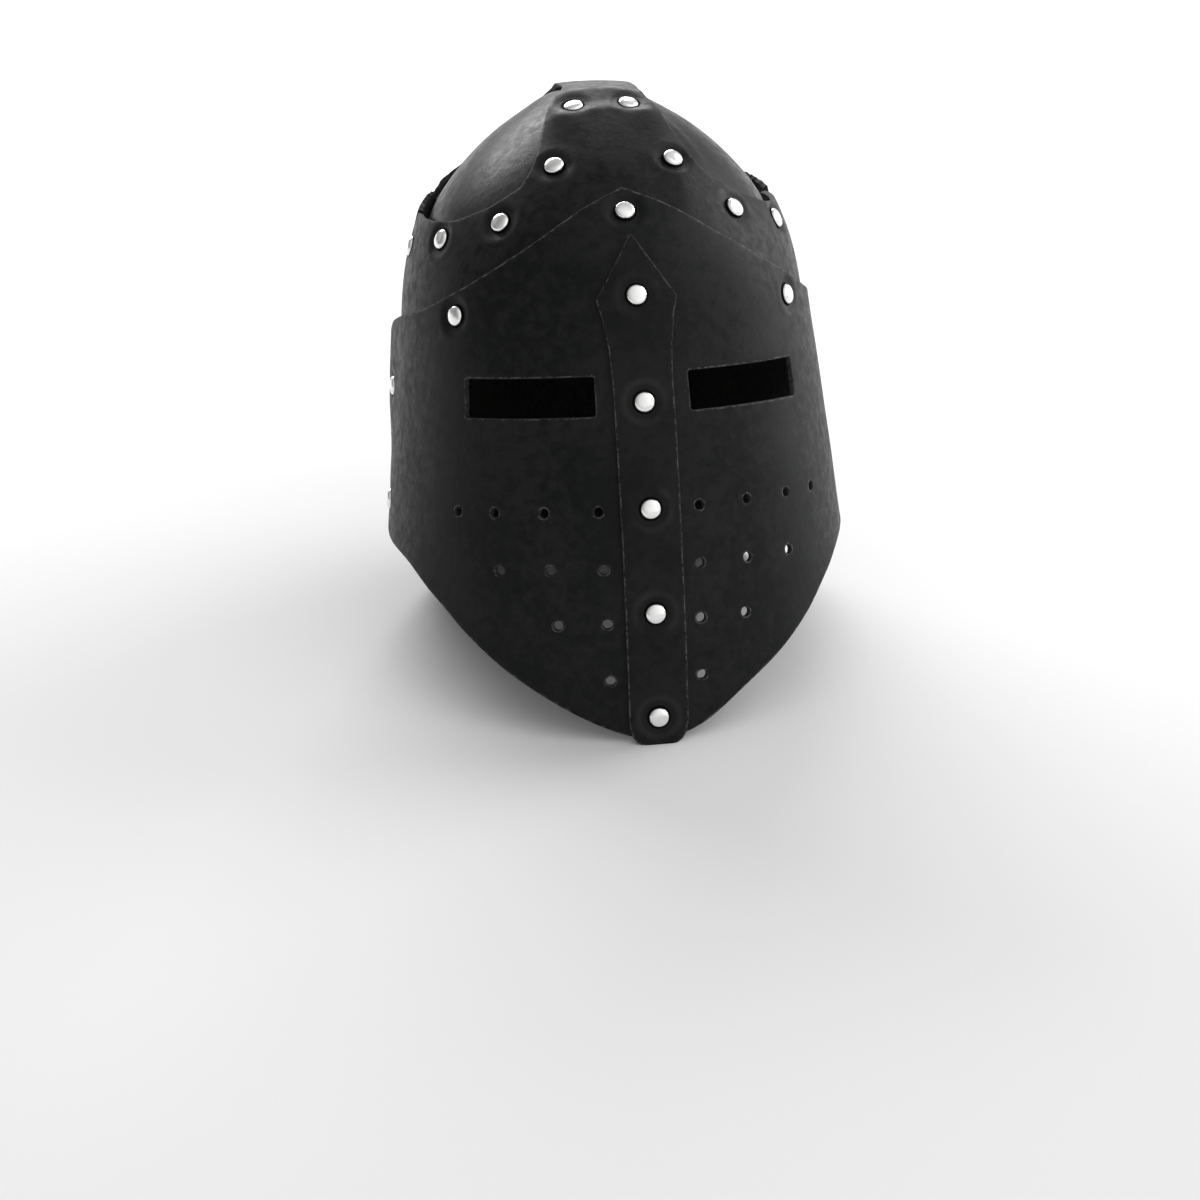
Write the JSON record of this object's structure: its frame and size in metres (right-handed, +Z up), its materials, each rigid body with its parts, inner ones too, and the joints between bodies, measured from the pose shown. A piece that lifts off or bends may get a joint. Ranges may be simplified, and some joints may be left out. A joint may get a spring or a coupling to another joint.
{
  "type": "great helm",
  "caption": "Riveted black leather great helm with a peaked face plate, sights, breath holes and a domed skull.",
  "frame": {"origin": "on the supporting surface, under the middle of the helm as it stands on its chin and nape", "axes": "+Z up, the face towards -Y, +X to the right of someone looking at the face"},
  "size_m": [0.2554, 0.3218, 0.3008],
  "materials": {
    "face_leather": "matte black grain leather, satin where it is bent",
    "strap_leather": "matte black grain leather",
    "frame_leather": "matte black grain leather, lighter on the crown",
    "panel_leather": "satin black grain leather, wet formed",
    "back_leather": "matte black grain leather, raw flesh side inside",
    "rivet_nickel": "bright nickel plated steel, domed"
  },
  "bodies": {
    "root": {"visor": "face_leather", "nasal_strap": "strap_leather", "skull_frame_front": "frame_leather", "skull_frame_rear": "frame_leather", "dome_panel_left": "panel_leather", "dome_panel_right": "panel_leather", "back_plate": "back_leather", "rivet_strap_1": "rivet_nickel", "rivet_strap_2": "rivet_nickel", "rivet_strap_3": "rivet_nickel", "rivet_strap_4": "rivet_nickel", "rivet_strap_5": "rivet_nickel", "rivet_peak": "rivet_nickel", "rivet_nape": "rivet_nickel", "rivet_brow_left": "rivet_nickel", "rivet_brow_right": "rivet_nickel", "rivet_front_1_left": "rivet_nickel", "rivet_front_1_right": "rivet_nickel", "rivet_front_2_left": "rivet_nickel", "rivet_front_2_right": "rivet_nickel", "rivet_front_3_left": "rivet_nickel", "rivet_front_3_right": "rivet_nickel", "rivet_front_4_left": "rivet_nickel", "rivet_front_4_right": "rivet_nickel", "rivet_front_5_left": "rivet_nickel", "rivet_front_5_right": "rivet_nickel", "rivet_rear_1_left": "rivet_nickel", "rivet_rear_1_right": "rivet_nickel", "rivet_rear_2_left": "rivet_nickel", "rivet_rear_2_right": "rivet_nickel", "rivet_rear_3_left": "rivet_nickel", "rivet_rear_3_right": "rivet_nickel", "rivet_rear_4_left": "rivet_nickel", "rivet_rear_4_right": "rivet_nickel", "rivet_nape_side_left": "rivet_nickel", "rivet_nape_side_right": "rivet_nickel", "rivet_seam_upper_left": "rivet_nickel", "rivet_seam_upper_right": "rivet_nickel", "rivet_seam_lower_left": "rivet_nickel", "rivet_seam_lower_right": "rivet_nickel"}
  },
  "joints": []
}
